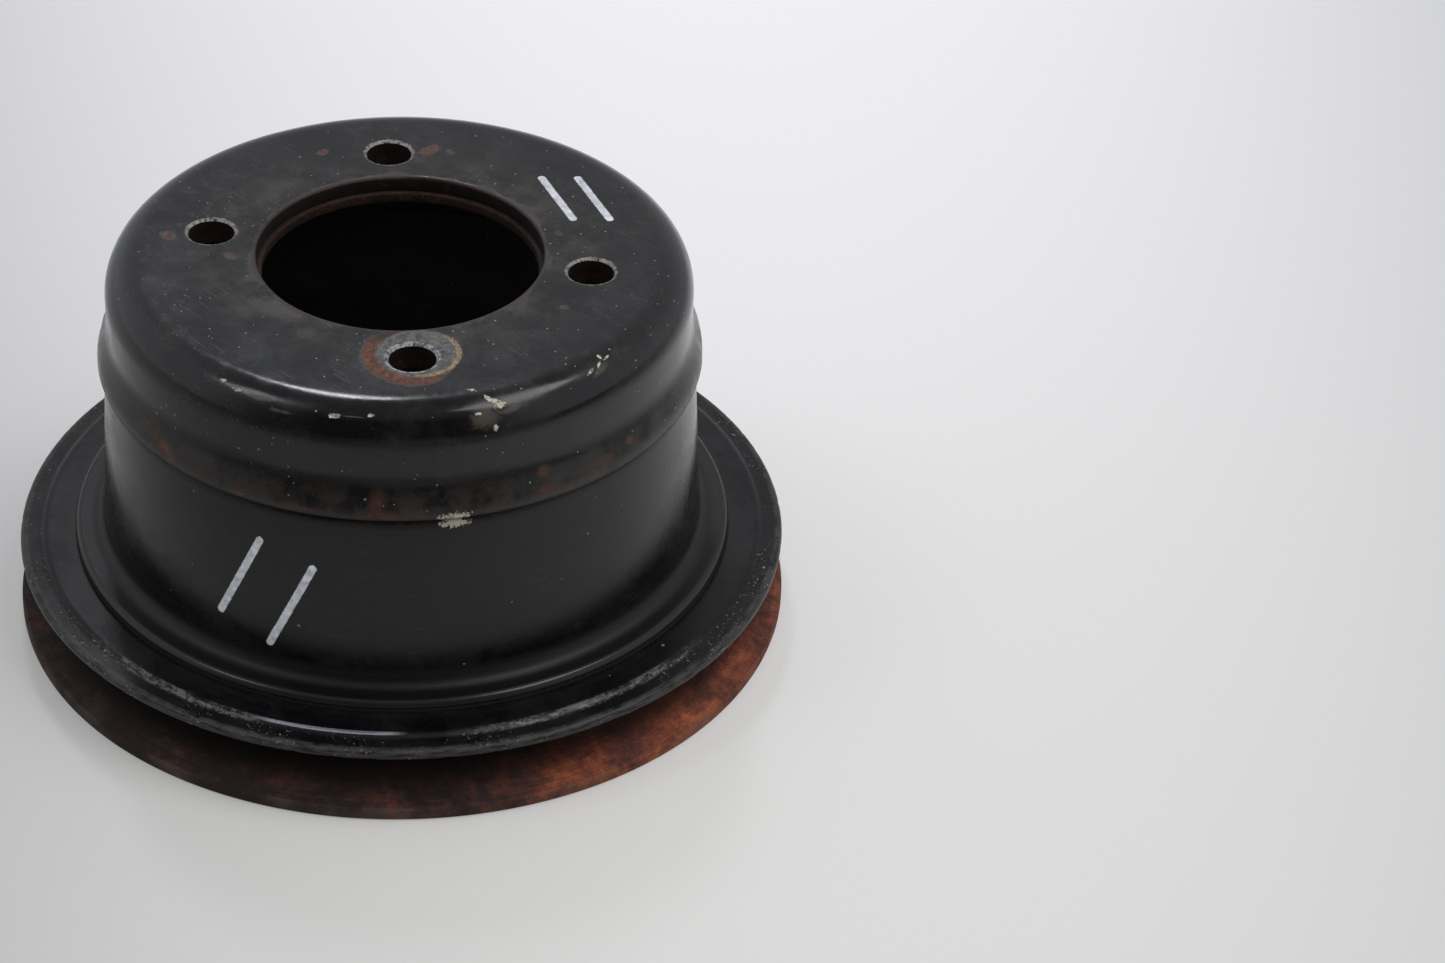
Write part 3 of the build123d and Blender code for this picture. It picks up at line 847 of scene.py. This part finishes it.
def flange_paint():
    coat = paint_base("black_flange_paint", (0.24, 0.36))
    coat.specks(2.6, 0.25, 0.32, DUST, 0.5)
    coat.scratches(30, 6.0, 0.10, 0.66, DUST, 0.10)
    # Handling wear on the rim: rubbed nose, scuffs on the land and a bright bare-metal line on the shoulder.
    # The scuffs and the line are laid only at the angles where highlights fall, so they are partly painted
    # highlight
    arc = coat.unrolled(70.0)
    streak = coat.node("ShaderNodeMapping", {"Vector": arc, "Scale": (0.22, 2.2, 1.0)}).outputs[0]
    rub = coat.noise(streak, 1.0, 6.0, 0.7)
    rub_fine = coat.noise(coat.where, 1.6, 4.0, 0.7)
    nose = coat.both(coat.step(coat.radius, 69.9, 70.6), coat.step(coat.z, 13.6, 14.2))
    coat.cover(coat.both(nose, coat.step(rub, 0.36, 0.58), 0.75), rgb(0.045, 0.044, 0.043), 0.5)
    nick = coat.both(coat.step(coat.radius, 67.3, 67.8), coat.step(rub_fine, 0.60, 0.66),
                     coat.step(coat.noise(coat.where, 0.16, 3.0), 0.48, 0.60))
    coat.cover(coat.both(nick, 0.9), rgb(0.26, 0.25, 0.23), 0.5, 0.3, -0.03)
    shoulder = coat.both(coat.step(coat.radius, 66.5, 66.75), coat.step(coat.radius, 67.35, 67.1))
    # Painted highlight: the bright metal line is kept to the angles where the shoulder catches a glint.
    bright = coat.either(
        coat.both(coat.step(coat.angle, -65.0, -58.0), coat.step(coat.angle, -40.0, -46.0)),
        coat.both(coat.step(coat.angle, 108.0, 118.0), coat.step(coat.angle, 150.0, 140.0)))
    # Painted highlight: the scuffed land is kept to the angles where the side lights are mirrored.
    scuffs_and_painted_highlight = coat.either(
        coat.both(coat.step(coat.angle, -36.0, -22.0), coat.step(coat.angle, 14.0, 0.0)),
        coat.both(coat.step(coat.angle, -100.0, -86.0), coat.step(coat.angle, -60.0, -68.0)))
    band = coat.both(coat.step(coat.radius, 66.3, 66.8), coat.step(coat.radius, 68.3, 67.8))
    scuffs = coat.math("ADD", coat.math("MULTIPLY", rub, 0.6), coat.math("MULTIPLY", rub_fine, 0.4))
    speckle = coat.step(scuffs, 0.45, 0.60)
    coat.cover(coat.both(band, scuffs_and_painted_highlight, speckle, 0.75), rgb(0.15, 0.145, 0.14), 0.42, 0.3)
    coat.cover(coat.both(shoulder, bright, coat.step(rub_fine, 0.25, 0.5)), rgb(0.55, 0.55, 0.62), 0.30, 1.0)
    # Dirt in the corner under the drum's lip, and the grimy belt side
    dirt = coat.both(coat.step(coat.radius, 63.5, 61.2), coat.step(rub_fine, 0.35, 0.62))
    coat.cover(coat.math("MULTIPLY", dirt, 0.4), rgb(0.012, 0.010, 0.008), 0.6)
    belt = coat.step(coat.z, 13.3, 12.9)
    grimy = coat.mix(coat.step(rub_fine, 0.4, 0.7), rgb(0.006, 0.005, 0.005), rgb(0.022, 0.012, 0.009))
    coat.cover(belt, grimy, 0.75)
    return coat.finish(0.26)


def flange_rust():
    """Rust with turning lines, with painted shade towards the root under the front rim, and orange on one
    side.
    """
    coat = Coat("flange_rust", RUST_RED, 0.8)
    side = coat.vector("DOT_PRODUCT", coat.where, (math.cos(0.2) / 72, math.sin(0.2) / 72, 0.0), out=1)
    patch = coat.noise(coat.where, 0.07, 3.0, 0.6)
    warm = coat.math("ADD", coat.step(side, 0.50, 1.0, -0.12, 0.17),
                     coat.remap(patch, 0.35, 0.65, -0.09, 0.12))
    grain = coat.noise(coat.where, 0.4, 8.0, 0.7)
    fine = coat.noise(coat.where, 3.2, 4.0, 0.65)
    arc = coat.node("ShaderNodeCombineXYZ", {
        0: coat.math("MULTIPLY", coat.angle, 0.06), 1: coat.math("MULTIPLY", coat.radius, 2.4)}).outputs[0]
    lines = coat.noise(arc, 1.0, 4.0, 0.6)
    level = coat.math("ADD", coat.math("MULTIPLY", grain, 0.55), coat.math("MULTIPLY", fine, 0.20))
    level = coat.math("ADD", level, coat.math("MULTIPLY", lines, 0.25))
    level = coat.math("ADD", level, warm)
    coat.colour = coat.ramp(level, [(0.36, rgb(0.016, 0.010, 0.009)), (0.47, rgb(0.036, 0.019, 0.017)),
                                    (0.57, rgb(0.085, 0.028, 0.020)), (0.67, rgb(0.180, 0.050, 0.026)),
                                    (0.78, rgb(0.300, 0.095, 0.040))])
    coat.rough = coat.remap(fine, 0.3, 0.7, 0.68, 0.92)
    pits = coat.cells(coat.where, 1.1)
    coat.height = coat.math("ADD", coat.math("MULTIPLY", grain, 0.10), coat.math("MULTIPLY", fine, 0.06))
    coat.height = coat.math("ADD", coat.height, coat.math("MULTIPLY", coat.step(pits, 0.0, 0.3), 0.03))
    rim = coat.both(coat.step(coat.radius, 71.3, 71.75), coat.step(fine, 0.25, 0.55))
    coat.cover(coat.both(rim, coat.step(patch, 0.40, 0.60), 0.6), rgb(0.060, 0.047, 0.036), 0.6, 0.1)
    # Painted shade: the rust is darkened towards the groove's root, where the front rim shades it.
    root = coat.step(coat.radius, 69.4, 64.5)
    coat.cover(coat.math("MULTIPLY", root, 0.7), rgb(0.010, 0.007, 0.006), 0.85)
    return coat.finish(0.25, 0.02, 6.0)


def ring_rust_and_painted_shade():
    coat = Coat("ring_rust_and_painted_shade", RUST_RED, 0.75)
    # Rust mixed mostly into near black: painted shade on the ring hidden under the hub face.
    coat.colour = coat.mix(0.88, coat.rust_colour(-0.06, 0.5), rgb(0.006, 0.0042, 0.0036))
    fine = coat.noise(coat.where, 2.4, 5.0, 0.7)
    coat.height = coat.math("MULTIPLY", fine, 0.06)
    coat.rough = coat.remap(fine, 0.3, 0.7, 0.6, 0.9)
    rubbed = coat.both(coat.step(coat.radius, 25.9, 25.5), coat.step(fine, 0.52, 0.66))
    coat.cover(coat.math("MULTIPLY", rubbed, 0.5), rgb(0.10, 0.060, 0.045), 0.55, 0.3)
    return coat.finish(0.3, 0.01)


def weld_steel():
    coat = Coat("weld_steel", STEEL, 0.5, 0.6)
    fine = coat.noise(coat.where, 2.0, 5.0, 0.7)
    coat.colour = coat.mix(fine, rgb(0.05, 0.045, 0.04), rgb(0.16, 0.13, 0.11))
    coat.height = coat.math("MULTIPLY", fine, 0.05)
    return coat.finish(0.4, 0.01)


def main():
    make_camera()
    make_floor()
    make_world()
    fill = make_lights()
    lit = bpy.data.collections.new("lit_by_room_fill")
    fill.light_linking.receiver_collection = lit
    ring = ring_rust_and_painted_shade()
    weld = weld_steel()
    hub = [hub_face_paint(), hub_hole_rust_and_painted_shade(), hub_wall_paint()]
    makers = [("hub_cup", make_hub_cup, hub, hub_area, "black_paint"),
              ("hub_backing_ring", make_backing_ring, [ring], None, "rusty_ring_steel"),
              ("drum_shell", make_drum_shell, [drum_paint()], None, "black_paint"),
              ("front_flange", make_front_flange, [flange_paint()], None, "black_paint"),
              ("rear_flange", make_rear_flange, [flange_rust()], None, "rusty_flange_steel")]
    for node, make, materials, area, slot in makers:
        piece = make()
        finish_piece(piece, materials)
        if area:
            for face in piece.data.polygons:
                face.material_index = area(face.center / MM)
        lit.objects.link(piece)
        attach(piece, "root")
        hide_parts(node)
    for node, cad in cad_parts.items():
        if "weld" in node:
            cad.data.materials.clear()
            cad.data.materials.append(weld)
    view = bpy.context.scene.view_settings
    view.view_transform = "Standard"


main()
